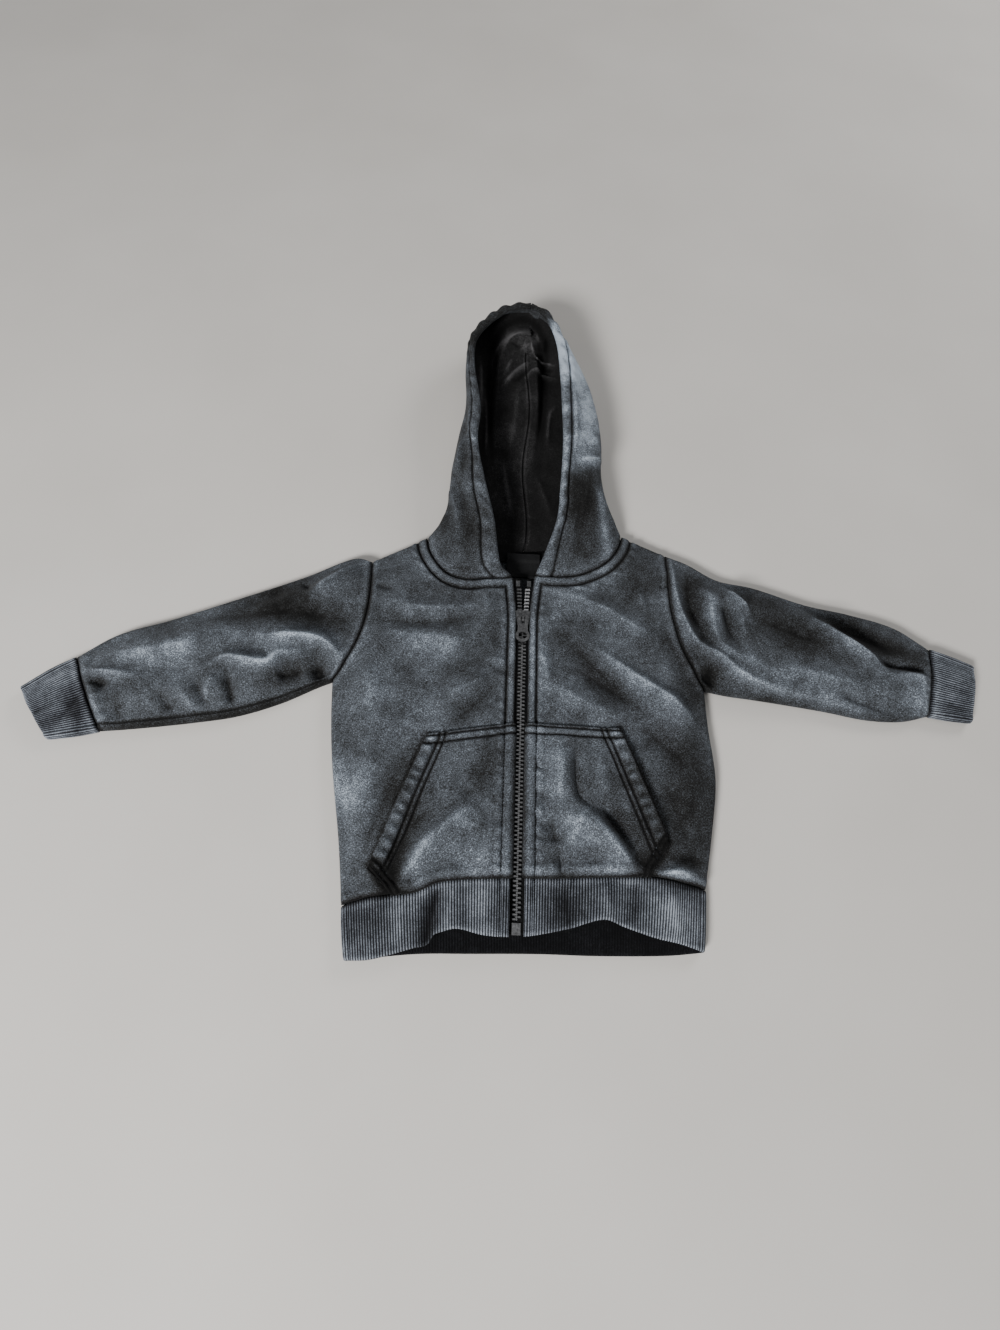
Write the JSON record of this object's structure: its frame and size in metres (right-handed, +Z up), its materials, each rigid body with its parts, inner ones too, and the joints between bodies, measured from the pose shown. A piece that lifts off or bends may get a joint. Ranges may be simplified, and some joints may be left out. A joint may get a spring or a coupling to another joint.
{
  "type": "toddler zip hoodie",
  "caption": "Toddler's zip-front hoodie laid flat face up: ribbed hem and cuffs, slanted patch pockets, lined hood standing open, and a swinging zip pull tab.",
  "frame": {"origin": "on the surface the garment lies on, under the zip and level with the underarms", "axes": "+X to the wearer's left across the chest, +Y from hem to hood, +Z up off the surface"},
  "size_m": [0.7938, 0.6172, 0.0491],
  "materials": {
    "fleece": "matt washed fleece",
    "ribbing": "matt rib knit",
    "jersey": "matt jersey",
    "tape": "woven tape",
    "metal": "dark gunmetal"
  },
  "bodies": {
    "garment": {"back": "fleece", "front_right": "fleece", "front_left": "fleece", "sleeve_right": "fleece", "sleeve_left": "fleece", "cuff_right": "ribbing", "cuff_left": "ribbing", "hem_band": "ribbing", "pocket_right": "fleece", "pocket_left": "fleece", "hood_right": "fleece", "hood_left": "fleece", "hood_lining_right": "jersey", "hood_lining_left": "jersey", "neck_tape": "tape", "neck_label": "tape", "zip_tape_right": "tape", "zip_tape_left": "tape", "zip_slider": "metal", "zip_bottom_stop": "metal", "zip_top_stop_right": "metal", "zip_top_stop_left": "metal"},
    "pull_tab": {"zip_pull_tab": "metal"}
  },
  "joints": [
    {"name": "pull_tab_swing", "type": "hinge", "parent": "garment", "child": "pull_tab", "pos_m": [0, 0.0646, 0.0168], "axis": [-1, 0, 0], "range_deg": [0, 165]}
  ]
}
